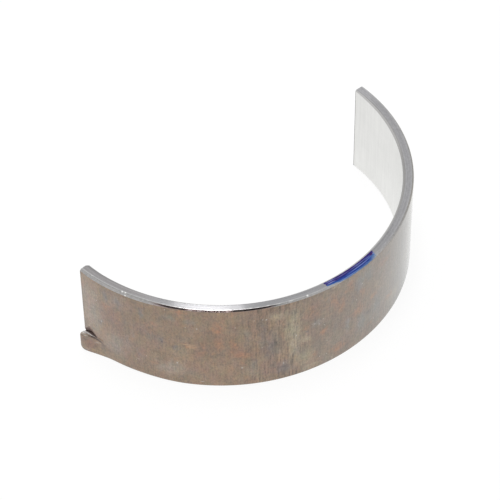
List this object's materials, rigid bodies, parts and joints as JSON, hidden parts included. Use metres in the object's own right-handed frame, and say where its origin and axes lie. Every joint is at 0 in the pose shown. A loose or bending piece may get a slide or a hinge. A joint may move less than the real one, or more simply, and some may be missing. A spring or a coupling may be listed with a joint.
{
  "type": "plain bearing half shell",
  "caption": "Thin half-round plain bearing shell for an engine journal, bright lining inside, steel back outside, with a locating lug pressed out at one corner.",
  "frame": {"origin": "middle of the wall at the crown, on the lower side face that the shell stands on", "axes": "+Z along the bore axis, which is at x = 0, y = 25.35 mm; -Y outwards at the crown; the parting faces look towards +Y and the locating lug is at the -X one"},
  "size_m": [0.0531, 0.0252, 0.0147],
  "materials": {
    "bearing_metal": "tarnished steel back, machined side faces, bright thin lining"
  },
  "bodies": {
    "root": {"bearing_shell": "bearing_metal"}
  },
  "joints": []
}
